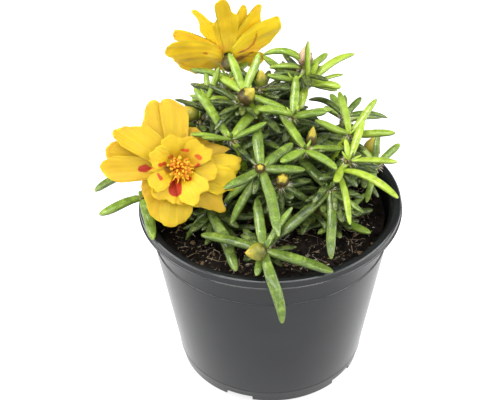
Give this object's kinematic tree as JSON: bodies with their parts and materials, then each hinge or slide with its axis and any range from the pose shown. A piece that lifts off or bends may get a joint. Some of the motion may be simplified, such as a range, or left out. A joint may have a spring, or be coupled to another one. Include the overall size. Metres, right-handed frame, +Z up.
{
  "type": "potted portulaca",
  "caption": "Moss rose in a round black plastic nursery pot: leafy fleshy shoots spreading over the rim, green-gold buds and large semi-double yellow flowers with red marks.",
  "frame": {"origin": "on the surface that the pot stands on, under the middle of the whole plant's box", "axes": "+Z up; +Y away from the side that the large front flower and the overhanging leaf face; +X to the right of that side. The pot's axis stands 8.8 mm to +X and 1.9 mm to -Y of the origin"},
  "size_m": [0.1388, 0.1478, 0.1657],
  "materials": {
    "pot_plastic": "injection-moulded black polypropylene with a soft sheen",
    "peat": "moist dark peat with pale fibres",
    "leaf": "smooth fleshy leaf skin, waxy and slightly speckled",
    "bud": "green-brown sepals over a yellow bud",
    "calyx": "dark green fleshy sepals",
    "petal": "thin silky petal, translucent, yellow with an orange rim and red basal marks",
    "stamens": "orange-yellow filaments and anthers"
  },
  "bodies": {
    "root": {"back_flower_calyx": "calyx", "back_flower_petal_1": "petal", "back_flower_petal_10": "petal", "back_flower_petal_11": "petal", "back_flower_petal_2": "petal", "back_flower_petal_3": "petal", "back_flower_petal_4": "petal", "back_flower_petal_5": "petal", "back_flower_petal_6": "petal", "back_flower_petal_7": "petal", "back_flower_petal_8": "petal", "back_flower_petal_9": "petal", "back_flower_stamens": "stamens", "bud_back_left": "bud", "bud_back_right": "bud", "bud_behind_flower": "bud", "bud_centre": "bud", "bud_front": "bud", "bud_left_back": "bud", "bud_low_middle": "bud", "bud_middle": "bud", "bud_right": "bud", "bud_yellow": "bud", "front_flower_calyx": "calyx", "front_flower_petal_1": "petal", "front_flower_petal_10": "petal", "front_flower_petal_11": "petal", "front_flower_petal_12": "petal", "front_flower_petal_13": "petal", "front_flower_petal_14": "petal", "front_flower_petal_15": "petal", "front_flower_petal_16": "petal", "front_flower_petal_17": "petal", "front_flower_petal_2": "petal", "front_flower_petal_3": "petal", "front_flower_petal_4": "petal", "front_flower_petal_5": "petal", "front_flower_petal_6": "petal", "front_flower_petal_7": "petal", "front_flower_petal_8": "petal", "front_flower_petal_9": "petal", "front_flower_stamens": "stamens", "pot": "pot_plastic", "shoot_back_left": "leaf", "shoot_back_right": "leaf", "shoot_centre": "leaf", "shoot_front": "leaf", "shoot_left": "leaf", "shoot_left_back": "leaf", "shoot_left_centre": "leaf", "shoot_left_front": "leaf", "shoot_middle": "leaf", "shoot_rear": "leaf", "shoot_rear_right": "leaf", "shoot_right": "leaf", "shoot_right_back": "leaf", "shoot_under_back_flower": "leaf", "shoot_under_front_flower": "leaf", "soil": "peat"}
  },
  "joints": []
}
